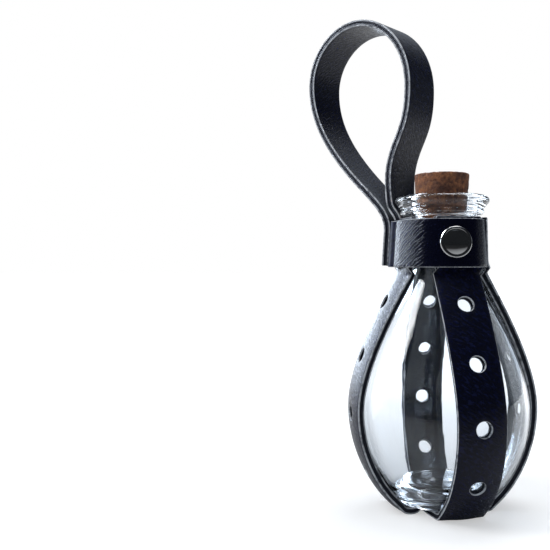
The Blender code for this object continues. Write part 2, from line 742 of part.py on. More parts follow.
def make_rivet(label, height):
    place = collar_place(LOOP_AZIMUTH, COLLAR_BOTTOM + height)
    foot_top = BAND_INNER + RIVET_FOOT_SHEET
    face = OUTER_BRANCH_MID + STRAP / 2
    beyond = 3 * MM
    post_profile = [
        (0, BAND_INNER),
        (RIVET_FOOT_RADIUS, BAND_INNER),
        (RIVET_FOOT_RADIUS, foot_top),
        (RIVET_POST_RADIUS, foot_top),
        (RIVET_POST_RADIUS, face - GAP),
        (0, face - GAP),
    ]
    turned("loop_rivet_post_" + label, post_profile, RIVET_SEGMENTS, NICKEL, place)
    domed_cap(
        "loop_rivet_cap_" + label, place, RIVET_CAP_RADIUS, RIVET_CAP_RISE, face + GAP,
        RIVET_POST_RADIUS, face, RIVET_SEGMENTS,
    )
    hole = [
        (0, BAND_INNER - beyond),
        (RIVET_FOOT_RADIUS + GAP, BAND_INNER - beyond),
        (RIVET_FOOT_RADIUS + GAP, foot_top + GAP),
        (RIVET_POST_RADIUS + GAP, foot_top + GAP),
        (RIVET_POST_RADIUS + GAP, face + beyond),
        (0, face + beyond),
    ]
    layers = [band, *end_plies["loop_tucked_end"], *end_plies["loop_riveted_end"]]
    recess("loop_rivet_hole_" + label, place, hole, layers)


# Moving pieces hang from an empty on their joint's axis

def carry(name, position, azimuth, pieces):
    joint = bpy.data.objects.new(name, None)
    joint.empty_display_size = 10 * MM
    joint.matrix_world = Matrix.Translation(position) @ Matrix.Rotation(math.radians(azimuth), 4, "Z")
    bpy.context.scene.collection.objects.link(joint)
    for piece in pieces:
        piece.parent = joint
        piece.matrix_parent_inverse = joint.matrix_world.inverted()


snap_cap, snap_socket = make_snap()
for rivet_label, rivet_height in zip(("lower", "upper"), RIVET_HEIGHTS):
    make_rivet(rivet_label, rivet_height)

flap_axis = outward(FLAP_ROOT) * (BAND_OUTER + COLLAR_FLARE) + Vector((0, 0, SNAP_HEIGHT))
carry("flap_hinge", flap_axis, FLAP_ROOT, (flap, snap_cap, snap_socket))
loop_axis = LOOP.spot(loop_stop - 1, 0, STRAP / 2)
carry("loop_hinge", loop_axis, LOOP_AZIMUTH, loop_plies)
print("flap hinge at", [round(value, 5) for value in flap_axis])
print("loop hinge at", [round(value, 5) for value in loop_axis])
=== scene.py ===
import math

import bmesh
import bpy
import numpy as np
from mathutils import Matrix, Vector, noise
from mathutils.geometry import delaunay_2d_cdt


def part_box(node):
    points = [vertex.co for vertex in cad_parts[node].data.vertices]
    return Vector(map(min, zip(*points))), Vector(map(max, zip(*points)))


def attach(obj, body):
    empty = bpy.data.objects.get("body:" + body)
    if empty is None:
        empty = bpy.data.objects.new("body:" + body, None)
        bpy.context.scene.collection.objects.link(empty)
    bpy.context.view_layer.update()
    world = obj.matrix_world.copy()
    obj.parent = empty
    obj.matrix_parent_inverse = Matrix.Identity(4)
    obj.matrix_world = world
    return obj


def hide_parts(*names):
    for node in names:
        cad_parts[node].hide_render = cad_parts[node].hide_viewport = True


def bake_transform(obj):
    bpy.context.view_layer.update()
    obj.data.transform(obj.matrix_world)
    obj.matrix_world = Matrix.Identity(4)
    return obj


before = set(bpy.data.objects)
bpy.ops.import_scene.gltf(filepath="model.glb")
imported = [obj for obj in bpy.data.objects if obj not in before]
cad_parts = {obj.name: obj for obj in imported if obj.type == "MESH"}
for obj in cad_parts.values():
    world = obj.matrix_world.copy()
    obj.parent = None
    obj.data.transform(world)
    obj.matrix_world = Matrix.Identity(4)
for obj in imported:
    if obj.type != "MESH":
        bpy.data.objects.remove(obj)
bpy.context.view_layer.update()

# The glass flask. Clear soda glass, free of colour, blown into a light-bulb shape with a fire-polished
# double-beaded lip. The foot is pushed up into a punt, whose round edge shows through the wall.

MM = 0.001
SNUG = 0.3 * MM
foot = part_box("glass_bottle")[0][2]
lip_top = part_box("glass_bottle")[1][2]
belly_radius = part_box("glass_bottle")[1][0]
belly_height = foot + 38.0 * MM
neck_radius, neck_flare = 12.7 * MM, 0.5 * MM
neck_start = foot + 96.9 * MM
under_lip = foot + 115.6 * MM
lip_radius, upper_bead_round = 18.9 * MM, 1.7 * MM
lower_bead_radius, lower_bead_round = 16.85 * MM, 1.35 * MM
bead_inset = 2.1 * MM
# How the outline leaves the neck, and how full its curves are, in shares of the shoulder and the bowl
shoulder_ease, shoulder_fullness = (0.3 * MM, 0.07), 0.36
bowl_fullness, heel_pull = 0.45, (0.47, 0.155)
foot_radius = 18.0 * MM
punt_radius, punt_depth, punt_dome = 17.0 * MM, 6.4 * MM, 0.3 * MM
glass_wall, wall_end = 2.0 * MM, foot + 9.0 * MM
cork_tip, cork_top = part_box("cork_stopper")[0][2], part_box("cork_stopper")[1][2]
cork_tip_radius, cork_top_radius = 9.8 * MM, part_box("cork_stopper")[1][0]


def mix(a, b, share):
    return a + (b - a) * share


def bezier(start, out_handle, in_handle, end, steps):
    """Points of a cubic from start to end, without its first point."""
    line = []
    for i in range(1, steps + 1):
        t = i / steps
        weights = ((1 - t) ** 3, 3 * (1 - t) ** 2 * t, 3 * (1 - t) * t * t, t**3)
        corners = (start, out_handle, in_handle, end)
        line.append(tuple(sum(w * c[k] for w, c in zip(weights, corners)) for k in (0, 1)))
    return line


def arc(centre, radius, first, last, steps):
    """Points of an arc, with its angles in degrees."""
    angles = [math.radians(mix(first, last, i / steps)) for i in range(steps + 1)]
    return [(centre[0] + radius * math.cos(a), centre[1] + radius * math.sin(a)) for a in angles]


def line_normals(line):
    """Unit normals on the left of a 2-D line's direction of travel."""
    found = []
    for i in range(len(line)):
        before, after = line[max(i - 1, 0)], line[min(i + 1, len(line) - 1)]
        dx, dz = after[0] - before[0], after[1] - before[1]
        length = math.hypot(dx, dz)
        found.append((-dz / length, dx / length))
    return found


def shifted(line, distance):
    return [(p[0] + n[0] * distance, p[1] + n[1] * distance) for p, n in zip(line, line_normals(line))]


def flask_outline(steps):
    """Outer side of neck, shoulder and bowl, from under the lip down to the foot."""
    belly, neck = (belly_radius, belly_height), (neck_radius + neck_flare, neck_start)
    shoulder, bowl = neck_start - belly_height, belly_height - foot
    line = [(mix(neck_radius, neck[0], i / 6), mix(under_lip, neck_start, i / 6)) for i in range(7)]
    out_of_neck = (neck[0] + shoulder_ease[0], neck_start - shoulder_ease[1] * shoulder)
    above_belly = (belly_radius, belly_height + shoulder_fullness * shoulder)
    line += bezier(neck, out_of_neck, above_belly, belly, steps)
    heel = (mix(foot_radius, belly_radius, heel_pull[0]), foot + heel_pull[1] * bowl)
    below_belly = (belly_radius, belly_height - bowl_fullness * bowl)
    return line + bezier(belly, below_belly, heel, (foot_radius, foot), steps)


def closed_mesh(name, bm):
    """A smooth mesh with outward faces."""
    bmesh.ops.recalc_face_normals(bm, faces=bm.faces)
    mesh = bpy.data.meshes.new(name)
    bm.to_mesh(mesh)
    bm.free()
    mesh.shade_smooth()
    return mesh


def turned_mesh(name, profile, segments):
    """Revolves (radius, height) points about Z, from the axis back to the axis, into a closed skin."""
    bm = bmesh.new()
    rings = []
    for radius, height in profile:
        if radius < 1e-7:
            rings.append([bm.verts.new((0, 0, height))])
            continue
        turns = [2 * math.pi * i / segments for i in range(segments)]
        rings.append([bm.verts.new((radius * math.cos(a), radius * math.sin(a), height)) for a in turns])
    for low, high in zip(rings, rings[1:]):
        for i in range(segments):
            j = (i + 1) % segments
            corners = (low[i % len(low)], low[j % len(low)], high[j % len(high)], high[i % len(high)])
            bm.faces.new(list(dict.fromkeys(corners)))
    return closed_mesh(name, bm)


def placed(name, contents):
    """A new object in the scene."""
    made = bpy.data.objects.new(name, contents)
    bpy.context.scene.collection.objects.link(made)
    return made


def add_piece(name, mesh, materials):
    piece = placed(name, mesh)
    for finish in materials:
        piece.data.materials.append(finish)
    return piece


class Wire:
    """A value in a material. Python arithmetic on it adds Math nodes."""

    def __init__(self, finish, socket):
        self.finish = finish
        self.socket = socket

    def math(self, operation, *values):
        return self.finish.node("ShaderNodeMath", {"operation": operation}, dict(enumerate(values)))

    def __add__(self, other):
        return self.math("ADD", self, other)

    def __radd__(self, other):
        return self.math("ADD", other, self)

    def __sub__(self, other):
        return self.math("SUBTRACT", self, other)

    def __rsub__(self, other):
        return self.math("SUBTRACT", other, self)

    def __mul__(self, other):
        return self.math("MULTIPLY", self, other)

    def __rmul__(self, other):
        return self.math("MULTIPLY", other, self)

    def __truediv__(self, other):
        return self.math("DIVIDE", self, other)

    def clamp(self):
        return self.finish.node("ShaderNodeClamp", {}, {0: self})


class Finish:
    """A material, its shader and the nodes that feed it. Constants are named as its sockets are."""

    def __init__(self, name, **constants):
        self.material = bpy.data.materials.new(name)
        self.material.use_nodes = True
        self.tree = self.material.node_tree
        self.shader = self.tree.nodes["Principled BSDF"]
        for socket, value in constants.items():
            self.shader.inputs[socket.replace("_", " ")].default_value = value

    def node(self, kind, settings, inputs, output=0):
        made = self.tree.nodes.new(kind)
        for key, value in settings.items():
            if key == "stops":
                self.set_stops(made.color_ramp, value)
            else:
                setattr(made, key, value)
        for key, value in inputs.items():
            if isinstance(value, Wire):
                self.tree.links.new(value.socket, made.inputs[key])
            else:
                made.inputs[key].default_value = value
        return Wire(self, made.outputs[output])

    def set_stops(self, ramp, stops):
        while len(ramp.elements) < len(stops):
            ramp.elements.new(0.5)
        for element, (position, colour) in zip(ramp.elements, stops):
            element.position = position
            element.color = (*colour, 1.0)

    def feed(self, socket, wire):
        self.tree.links.new(wire.socket, self.shader.inputs[socket])

    def coordinates(self, scale=(1, 1, 1), uv=False, turn=0.0):
        """Places on the piece, turned first and then divided by scale, so that marks grow with it."""
        place = self.node("ShaderNodeTexCoord", {}, {}, "UV" if uv else "Object")
        settings = {0: place, "Scale": scale, "Rotation": (0, 0, turn)}
        return self.node("ShaderNodeMapping", {"vector_type": "TEXTURE"}, settings)

    def axis(self, place, letter):
        """One of the three numbers of a place."""
        return self.node("ShaderNodeSeparateXYZ", {}, {0: place}, letter)

    def noise(self, place, scale, detail=2.0, roughness=0.5, distortion=0.0):
        settings = {0: place, "Scale": scale, "Detail": detail, "Roughness": roughness}
        return self.node("ShaderNodeTexNoise", {}, {**settings, "Distortion": distortion}, "Fac")

    def cells(self, place, scale, output="Distance"):
        return self.node("ShaderNodeTexVoronoi", {}, {0: place, "Scale": scale}, output)

    def grey(self, colour):
        """A number from a colour, its red."""
        return self.node("ShaderNodeSeparateColor", {}, {0: colour})

    def ramp(self, value, *stops):
        """The colours of a ramp, from its (position, colour) stops."""
        return self.node("ShaderNodeValToRGB", {"stops": stops}, {0: value})

    def blend(self, share, first, second, kind="MIX"):
        """A colour made of two colours."""
        settings = {"data_type": "RGBA", "blend_type": kind}
        return self.node("ShaderNodeMix", settings, {0: share, 6: first, 7: second}, 2)

    def bump(self, height, distance, strength=1.0):
        settings = {"Height": height, "Distance": distance, "Strength": strength}
        return self.node("ShaderNodeBump", {}, settings)


def glass_finish():
    """Clear glass with the faint ripple of blown ware, which fades out towards the lip."""
    glass = Finish("clear_glass", Roughness=0.0, IOR=1.47, Transmission_Weight=1.0)
    place = glass.coordinates()
    ripple = glass.noise(place, 55, detail=1.0)
    streak = glass.noise(glass.coordinates((1, 1, 8)), 240)
    fade_end, fade_length = under_lip - 3 * MM, 14 * MM
    blown = ((fade_end - glass.axis(place, "Z")) / fade_length).clamp()
    glass.feed("Normal", glass.bump((ripple + 0.2 * streak) * blown, 0.6 * MM, 0.3))
    glass.feed("Base Color", glass.blend(ripple, (0.9, 0.94, 0.98, 1), (0.97, 0.985, 1.0, 1)))
    return glass.material


def cork_radius(height):
    return mix(cork_tip_radius, cork_top_radius, (height - cork_tip) / (cork_top - cork_tip))


def lip_profile():
    """From the neck over the lip's two beads, then down its mouth to the cork's tip."""
    low = (lower_bead_radius - lower_bead_round, under_lip + bead_inset)
    high = (lip_radius - upper_bead_round, lip_top - bead_inset)
    up_the_neck = (neck_radius, under_lip + 0.6 * MM)
    out_to_bead = (low[0] - 1.6 * MM, under_lip + 0.3 * MM)
    bead_start = (low[0] + 0.3 * MM, under_lip + 0.75 * MM)
    line = bezier((neck_radius, under_lip), up_the_neck, out_to_bead, bead_start, 8)
    line += arc(low, lower_bead_round, -50, 45, 8)
    line += arc(high, upper_bead_round, -48, 62, 12)
    crown = (14.2 * MM, lip_top)
    line += bezier(line[-1], (high[0], lip_top), (high[0] - 1 * MM, lip_top), crown, 6)
    mouth = cork_radius(lip_top) + SNUG
    across_crown, into_mouth = (mouth + 1 * MM, lip_top), (mouth + 0.2 * MM, lip_top - 0.2 * MM)
    line += bezier(crown, across_crown, into_mouth, (mouth, lip_top - 1.2 * MM), 6)
    return line + [(cork_radius(cork_tip) + SNUG, cork_tip - 0.5 * MM)]


def floor_profile(wall_foot):
    """Inside the foot: down from the wall into a round valley, then up onto the punt."""
    top = foot + punt_depth + 1.1 * glass_wall
    off_the_wall = (wall_foot[0] - 2.6 * MM, wall_foot[1] - 3.0 * MM)
    into_valley = (20.6 * MM, foot + 4.2 * MM)
    valley, out_of_valley = (18.6 * MM, foot + 4.6 * MM), (16.9 * MM, foot + 5.0 * MM)
    onto_punt, punt_edge = (16.3 * MM, top - 0.4 * MM), (14.6 * MM, top)
    line = bezier(wall_foot, off_the_wall, into_valley, valley, 12)
    line += bezier(valley, out_of_valley, onto_punt, punt_edge, 10)
    return line + [(8 * MM, top + 0.25 * MM), (2.5 * MM, top + punt_dome), (0, top + punt_dome)]


def punt_profile():
    """Under the foot: from the punt's middle down to the ring that the flask stands on."""
    roof = foot + punt_depth
    roof_edge, over_edge = (11 * MM, roof + 0.1 * MM), (14.6 * MM, roof)
    onto_side = (punt_radius - 1.6 * MM, roof - 1.0 * MM)
    side = (punt_radius - 0.6 * MM, foot + 1.6 * MM)
    down_side, stand = (punt_radius, foot + 0.8 * MM), (punt_radius + 0.5 * MM, foot)
    line = [(0, roof + punt_dome), (5 * MM, roof + 0.25 * MM), roof_edge]
    line += bezier(roof_edge, over_edge, onto_side, side, 8)
    return line + bezier(side, down_side, (punt_radius, foot), stand, 5)


def flask_profile():
    outline = flask_outline(64)
    inside = [point for point in shifted(outline[2:], -glass_wall) if point[1] > wall_end]
    return punt_profile() + outline[::-1] + lip_profile() + inside + floor_profile(inside[-1])


flask_mesh = turned_mesh("glass_flask", flask_profile(), segments=288)
flask = add_piece("glass_flask", flask_mesh, [glass_finish()])
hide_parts("glass_bottle")
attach(flask, "bottle")

# The cork. One tapered plug of dark natural cork, cut from bark, with pores and crumbled flecks. It is
# pushed into the neck and held by friction.


def cork_finish():
    """Mottled bark in four browns, with dark specks and pits."""
    cork = Finish("dark_cork", Roughness=0.86)
    place = cork.coordinates()
    shade = cork.grey(cork.cells(cork.coordinates((1, 1, 1.3)), 1100, "Color"))
    cloud = cork.noise(place, 230, detail=6.0, roughness=0.7)
    brown = cork.ramp(
        0.2 * shade + 1.3 * cloud - 0.25,
        (0.18, (0.05, 0.019, 0.011)),
        (0.45, (0.13, 0.05, 0.026)),
        (0.62, (0.24, 0.09, 0.036)),
        (0.85, (0.4, 0.17, 0.07)),
    )
    pores = cork.cells(cork.coordinates((1, 1, 1.6)), 900)
    pit = cork.ramp(pores, (0.06, (0.0, 0.0, 0.0)), (0.17, (1.0, 1.0, 1.0)))
    speck = cork.ramp(cork.noise(place, 900), (0.36, (0.35, 0.3, 0.28)), (0.47, (1.0, 1.0, 1.0)))
    pitted = cork.blend(0.3, brown, pit, "MULTIPLY")
    cork.feed("Base Color", cork.blend(0.55, pitted, speck, "MULTIPLY"))
    cork.feed("Normal", cork.bump(0.7 * cork.grey(pit) + cloud, 0.4 * MM, 0.8))
    return cork.material


def crumbled(spot, grain, threshold, depth):
    """How deep the cork has crumbled at a spot: only where the noise passes a threshold."""
    return max(0.0, noise.noise(spot * grain) - threshold) * depth


def make_cork():
    edge, rows = 0.7 * MM, 44
    top_rings, bottom_rings = 0.72 * MM, 1.2 * MM
    low, high = cork_tip + edge, cork_top - edge
    chip_shift = Vector((5, 1, 2)) / 330
    shares = [i / rows for i in range(rows + 1)]
    side = [(mix(cork_tip_radius, cork_top_radius, share), mix(low, high, share)) for share in shares]
    top = arc((cork_top_radius - edge, high), edge, 20, 90, 4)
    top += [(cork_top_radius - edge - i * top_rings, cork_top) for i in range(1, 14)]
    bottom = [(cork_tip_radius - edge - i * bottom_rings, cork_tip) for i in range(8)][::-1]
    mesh = turned_mesh("cork", [(0, cork_tip)] + bottom + side + top + [(0, cork_top)], 110)
    for vertex in mesh.vertices:
        spot = vertex.co
        inward = Vector((-spot.x, -spot.y, (cork_tip + cork_top) / 2 - spot.z)).normalized()
        crumbs = crumbled(spot, 900, 0.12, 0.6 * MM)
        chips = crumbled(spot + chip_shift, 330, 0.28, 1.6 * MM)
        vertex.co = spot + inward * (crumbs + chips)
    return add_piece("cork_plug", mesh, [cork_finish()])


def fleck_tree(finish):
    """Dark bark flecks scattered over the cork and sunk into it."""
    tree = bpy.data.node_groups.new("cork_flecks", "GeometryNodeTree")
    for name, kind, way in (
        ("Geometry", "NodeSocketGeometry", "INPUT"),
        ("Density", "NodeSocketFloat", "INPUT"),
        ("Size", "NodeSocketFloat", "INPUT"),
        ("Geometry", "NodeSocketGeometry", "OUTPUT"),
    ):
        tree.interface.new_socket(name, in_out=way, socket_type=kind)
    start, end = tree.nodes.new("NodeGroupInput"), tree.nodes.new("NodeGroupOutput")
    scatter = tree.nodes.new("GeometryNodeDistributePointsOnFaces")
    scatter.inputs["Seed"].default_value = 11
    fleck = tree.nodes.new("GeometryNodeMeshIcoSphere")
    fleck.inputs["Subdivisions"].default_value = 1
    spread = tree.nodes.new("FunctionNodeRandomValue")
    spread.inputs[2].default_value = 0.35
    spread.inputs[3].default_value = 1.0
    spread.inputs["Seed"].default_value = 4
    flat = tree.nodes.new("ShaderNodeCombineXYZ")
    for letter, share in (("X", 1.5), ("Y", 0.8), ("Z", 0.22)):
        flat.inputs[letter].default_value = share
    grow = tree.nodes.new("ShaderNodeVectorMath")
    grow.operation = "SCALE"
    place = tree.nodes.new("GeometryNodeInstanceOnPoints")
    whole = tree.nodes.new("GeometryNodeRealizeInstances")
    coat = tree.nodes.new("GeometryNodeSetMaterial")
    coat.inputs["Material"].default_value = finish
    wire = tree.links.new
    wire(start.outputs["Geometry"], scatter.inputs["Mesh"])
    wire(start.outputs["Density"], scatter.inputs["Density"])
    wire(scatter.outputs["Points"], place.inputs["Points"])
    wire(scatter.outputs["Rotation"], place.inputs["Rotation"])
    wire(start.outputs["Size"], fleck.inputs["Radius"])
    wire(fleck.outputs["Mesh"], place.inputs["Instance"])
    wire(flat.outputs[0], grow.inputs[0])
    wire(spread.outputs[1], grow.inputs["Scale"])
    wire(grow.outputs[0], place.inputs["Scale"])
    wire(place.outputs["Instances"], whole.inputs["Geometry"])
    wire(whole.outputs["Geometry"], coat.inputs["Geometry"])
    wire(coat.outputs["Geometry"], end.inputs["Geometry"])
    return tree


def grown(name, seed_piece, tree, sizes):
    """The plain mesh that a Geometry Nodes tree makes on a piece."""
    carrier = placed(name + "_carrier", seed_piece.data.copy())
    modifier = carrier.modifiers.new(name, "NODES")
    modifier.node_group = tree
    sockets = {item.name: item.identifier for item in tree.interface.items_tree if item.in_out == "INPUT"}
    for label, value in sizes.items():
        modifier[sockets[label]] = value
    bpy.context.view_layer.update()
    evaluated = carrier.evaluated_get(bpy.context.evaluated_depsgraph_get())
    mesh = bpy.data.meshes.new_from_object(evaluated)
    bpy.data.objects.remove(carrier)
    return add_piece(name, mesh, [])


def fleck_finish():
    bark = Finish("bark_fleck", Roughness=0.9)
    tone = bark.noise(bark.coordinates(), 260, detail=3.0)
    bark.feed("Base Color", bark.blend(tone, (0.06, 0.022, 0.01, 1), (0.2, 0.095, 0.045, 1)))
    return bark.material


cork = make_cork()
fleck_sizes = {"Density": 4e5, "Size": 0.2 * MM}
flecks = grown("cork_flecks", cork, fleck_tree(fleck_finish()), fleck_sizes)
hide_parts("cork_stopper")
for piece in (cork, flecks):
    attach(piece, "cork")

# The two harness straps. Each is a 19 mm strip of two leather plies glued flesh to flesh, with its edges
# left raw and 6 mm holes punched along it. They cross under the foot and end under the collar.

STRAP = 2.8 * MM
collar_bottom, collar_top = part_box("neck_band")[0][2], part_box("neck_band")[1][2]
strip_width = collar_top - collar_bottom
half_width = strip_width / 2
strip_corner = 0.7 * MM
hole_radius, hole_points, hole_margin = 3.0 * MM, 32, 0.8 * MM
first_hole, hole_pitch, holes_per_arm = 36.3 * MM, 23.5 * MM, 4
# The second number is the height of the flat band, under the grain side's round corner, that takes the
# pale painted highlight.
edge_round, highlight_band = 0.22 * MM, 0.42 * MM
glue_line = 0.05 * MM
rim_pitch, face_pitch = 1.2 * MM, 1.5 * MM
uv_scale = 10  # texture units to a metre of strip
strap_end = collar_top + 1.0 * MM
strap_ramp = 2.4 * MM
clear_of_strap = half_width + 1.4 * MM + strap_ramp
# The fourth slot holds a pale painted highlight on the edge corner next to the grain side.
GRAIN, EDGE, FLESH, HIGHLIGHT_CORNER = range(4)
# Each ply's name, its side of the glue line, how its nodes' names end, and its slot
plies = (("face", 1, "outer", "black_leather"), ("lining", -1, "lining", "leather_lining"))


def ease(share):
    """Smooth step from 0 to 1."""
    share = min(max(share, 0.0), 1.0)
    return share * share * (3 - 2 * share)


def outward(azimuth):
    """Horizontal unit vector away from the bottle's axis, 0 degrees at the front and 90 at the right."""
    angle = math.radians(azimuth)
    return Vector((math.sin(angle), -math.cos(angle), 0))


def sideways(azimuth):
    """Horizontal unit vector towards growing azimuth."""
    angle = math.radians(azimuth)
    return Vector((math.cos(angle), math.sin(angle), 0))


def resampled(line, step, soften):
    """A line's points at even steps, with its corners softened over that many steps."""
    line = np.array(line)
    runs = np.concatenate(([0.0], np.cumsum(np.linalg.norm(np.diff(line, axis=0), axis=1))))
    at = np.linspace(0.0, runs[-1], int(runs[-1] / step) + 1)
    even = np.stack([np.interp(at, runs, line[:, k]) for k in range(line.shape[1])], axis=1)
    for _ in range(soften):
        even[1:-1] = 0.25 * even[:-2] + 0.5 * even[1:-1] + 0.25 * even[2:]
    return even


class Route:
    """The middle line of a strip. Each point is a (radius, height) at its own azimuth."""

    def __init__(self, line, turn_at, curl_at):
        self.points = resampled(line, 0.5 * MM, soften=6)
        self.normals = np.array(line_normals(self.points.tolist()))
        self.turns = np.array([turn_at(p) for p in self.points])
        self.curls = np.array([curl_at(p, n) for p, n in zip(self.points, self.normals)])
        gaps = np.linalg.norm(np.diff(self.points, axis=0), axis=1)
        self.runs = np.concatenate(([0.0], np.cumsum(gaps)))
        self.length = float(self.runs[-1])

    def __call__(self, across, along, out):
        """World point: across the strip, along it, and out from its middle surface."""
        rows = (*self.points.T, *self.normals.T, self.turns, self.curls)
        x, z, nx, nz, azimuth, curl = (float(np.interp(along, self.runs, row)) for row in rows)
        if abs(curl) > 1e-3:
            radius = 1 / curl
            angle = across / radius
            across = (radius + out) * math.sin(angle)
            out = (radius + out) * math.cos(angle) - radius
        middle = outward(azimuth) * (x + nx * out) + Vector((0, 0, z + nz * out))
        return middle + sideways(azimuth) * across


def strip_rim(length):
    """Points round a strip, each as a centre and the direction in which its edge lies."""
    inner, low, high = half_width - strip_corner, strip_corner, length - strip_corner
    rows, columns = round(length / rim_pitch), round(2 * half_width / rim_pitch)
    line = [((inner, mix(low, high, i / rows)), 0) for i in range(rows)]
    line += [((inner, high), a) for a in (0, 30, 60)]
    line += [((mix(inner, -inner, i / columns), high), 90) for i in range(columns)]
    line += [((-inner, high), a) for a in (90, 120, 150)]
    line += [((-inner, mix(high, low, i / rows)), 180) for i in range(rows)]
    line += [((-inner, low), a) for a in (180, 210, 240)]
    line += [((mix(-inner, inner, i / columns), low), 270) for i in range(columns)]
    line += [((inner, low), a) for a in (270, 300, 330)]
    return line


def strip_loops(rim, holes, inset):
    """A strip's rim and its punched holes as loops of flat points, all drawn in by inset."""
    reach, radius = strip_corner - inset, hole_radius + inset
    edge = []
    for centre, direction in rim:
        angle = math.radians(direction)
        edge.append((centre[0] + math.cos(angle) * reach, centre[1] + math.sin(angle) * reach))
    turns = [-2 * math.pi * i / hole_points for i in range(hole_points)]
    punched = [[(radius * math.cos(t), hole + radius * math.sin(t)) for t in turns] for hole in holes]
    return [edge] + punched


def face_triangles(loops, length, holes):
    """The flat points of a strip's face and the triangles between them, with its holes left open."""
    links = []
    first = 0
    for loop in loops:
        links += [(first + i, first + (i + 1) % len(loop)) for i in range(len(loop))]
        first += len(loop)

    def clear_of_holes(spot, margin):
        reach = hole_radius + edge_round + margin
        return all((spot - Vector((0, hole))).length > reach for hole in holes)

    rows, columns = round(length / face_pitch), round(2 * half_width / face_pitch)
    inside = []
    for i in range(1, rows):
        for j in range(1, columns):
            spot = Vector((mix(-half_width, half_width, j / columns), length * i / rows))
            if clear_of_holes(spot, hole_margin):
                inside.append(spot)
    boundary = [Vector(point) for loop in loops for point in loop]
    rim_face, only_inside = [list(range(len(loops[0])))], 1
    points, _, faces, *_ = delaunay_2d_cdt(boundary + inside, links, rim_face, only_inside, 1e-7)
    triangles = []
    for face in faces:
        middle = sum((points[i] for i in face), Vector((0, 0))) / len(face)
        if clear_of_holes(middle, 0.0):
            triangles.append(face)
    return points, triangles


def ply_mesh(name, place, length, low, high, holes=()):
    """One leather ply, made flat and laid along its route: grain side, raw edge and flesh side.

    low and high are the offsets of its two sides; holes are lengths along the strip.
    """
    rim = strip_rim(length)
    angles = (0, math.pi / 4, math.pi / 2)
    quarter = [(edge_round * (1 - math.sin(a)), edge_round * (1 - math.cos(a))) for a in angles]
    profile = [(inset, low + rise) for inset, rise in quarter]
    profile += [(0, high - edge_round - highlight_band)]
    profile += [(inset, high - rise) for inset, rise in reversed(quarter)]
    points, triangles = face_triangles(strip_loops(rim, holes, edge_round), length, holes)

    bm = bmesh.new()
    uv_layer = bm.loops.layers.uv.new("strip")
    flat_place = {}

    def put(point, height):
        vertex = bm.verts.new(place(point[0], point[1], height))
        flat_place[vertex] = point
        return vertex

    rings = []
    for inset, height in profile:
        rings.append([[put(p, height) for p in loop] for loop in strip_loops(rim, holes, inset)])
    for level, (lower, upper) in enumerate(zip(rings, rings[1:])):
        for low_loop, high_loop in zip(lower, upper):
            for i in range(len(low_loop)):
                j = (i + 1) % len(low_loop)
                face = bm.faces.new((low_loop[i], low_loop[j], high_loop[j], high_loop[i]))
                # The flat band and the round corner next to the grain side take the painted highlight;
                # the rest is the raw edge.
                face.material_index = HIGHLIGHT_CORNER if level >= len(quarter) else EDGE
    for ring, height, side in ((rings[0], low, FLESH), (rings[-1], high, GRAIN)):
        corners = dict(enumerate(vertex for loop in ring for vertex in loop))
        for triangle in triangles:
            for i in triangle:
                if i not in corners:
                    corners[i] = put(tuple(points[i]), height)
            face = bm.faces.new([corners[i] for i in triangle])
            face.material_index = side
    for face in bm.faces:
        for loop in face.loops:
            across, along = flat_place[loop.vert]
            loop[uv_layer].uv = (uv_scale * across, uv_scale * along)
    return closed_mesh(name, bm)


def leather_finish(name, crease_depth, crease_turn=0.6, dull=0.5, gloss=0.22, combed=None):
    """Grained face: blue-black with fine pebbles and long diagonal creases, duller and in painted shade
    in the dips, with a painted highlight on the ridges.

    combed is the length from the strip's start over which bending has set the creases in close rows.
    """
    leather = Finish(name, Specular_IOR_Level=gloss)
    flat = leather.coordinates(uv=True)
    along = leather.coordinates((1.5, 0.55, 1), uv=True, turn=crease_turn)
    folds = leather.noise(along, 66, detail=2.5, distortion=0.5)
    if combed:
        bands = {0: along, "Scale": 15.5, "Distortion": 6.5, "Detail": 2.0, "Detail Scale": 2.4}
        rows = leather.node("ShaderNodeTexWave", {"bands_direction": "Y"}, bands, "Fac")
        folds = 0.5 * folds + 0.5 * rows
    creases = ((folds - 0.4) / 0.24).clamp()
    if combed:
        reach = combed * uv_scale
        past = ((leather.axis(flat, "Y") - reach) / reach).clamp()
        creases = creases * (1 - 0.95 * past)
    relief = 0.3 * leather.cells(flat, 150) + 0.8 * creases + 0.15 * leather.noise(flat, 420, detail=3.0)
    # Base colour: a painted highlight on the pebbles and crease ridges and painted shade in the dips,
    # lighter as the relief rises.
    navy_with_painted_light = leather.ramp(
        relief,
        (0.45, (0.001, 0.0015, 0.009)),
        (0.75, (0.002, 0.003, 0.016)),
        (1.0, (0.006, 0.008, 0.032)),
    )
    leather.feed("Base Color", navy_with_painted_light)
    leather.feed("Roughness", dull - 0.22 * relief)
    leather.feed("Normal", leather.bump(relief, crease_depth))
    return leather.material


def edge_finish():
    """Raw cut edge: dark packed fibres with a fine grit."""
    edge = Finish("raw_leather_edge", Roughness=0.6, Specular_IOR_Level=0.3)
    fibres = edge.noise(edge.coordinates((0.03, 0.8, 0.03)), 40, detail=4.0)
    grit = edge.noise(edge.coordinates(), 900)
    dark, pale = (0.3, (0.004, 0.005, 0.012)), (0.7, (0.016, 0.018, 0.03))
    edge.feed("Base Color", edge.ramp(0.5 * fibres + 0.5 * grit, dark, pale))
    edge.feed("Normal", edge.bump(grit, 0.12 * MM, 0.6))
    return edge.material


def corner_highlight_finish():
    """The corner of a cut edge next to the grain side, coloured as a pale painted highlight where the
    edge catches the light.
    """
    corner = Finish("leather_corner_painted_highlight", Roughness=0.65, Specular_IOR_Level=0.3)
    # Noise breaks the painted highlight into pale and grey patches.
    highlight_mottle = corner.noise(corner.coordinates(), 350, detail=4.0, roughness=0.7)
    corner.feed("Base Color", corner.ramp(highlight_mottle, (0.34, (0.1, 0.105, 0.12)), (0.54, (0.5, 0.51, 0.53))))
    corner.feed("Normal", corner.bump(highlight_mottle, 0.12 * MM, 0.6))
    return corner.material


